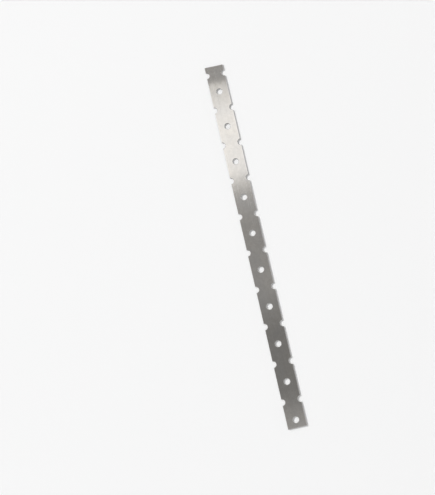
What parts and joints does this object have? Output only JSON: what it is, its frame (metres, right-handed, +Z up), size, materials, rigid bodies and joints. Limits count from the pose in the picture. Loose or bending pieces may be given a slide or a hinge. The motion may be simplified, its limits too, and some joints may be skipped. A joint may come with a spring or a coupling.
{
  "type": "masonry wall tie",
  "caption": "Flat sheet-steel wall tie: a narrow strip with a row of round nail holes and half-round notches in both long edges, laid in a mortar joint to tie two walls.",
  "frame": {"origin": "centre of the lower face, on which the tie lies", "axes": "+X along the tie, towards the end that is cut just past a pair of notches; +Y across the strip; +Z up, out of the face with the rounded die rolls"},
  "size_m": [0.298, 0.015, 0.0008],
  "materials": {
    "steel": "bright cold-rolled, satin, with fine rolling lines along the strip"
  },
  "bodies": {
    "root": {"tie_strip": "steel"}
  },
  "joints": []
}
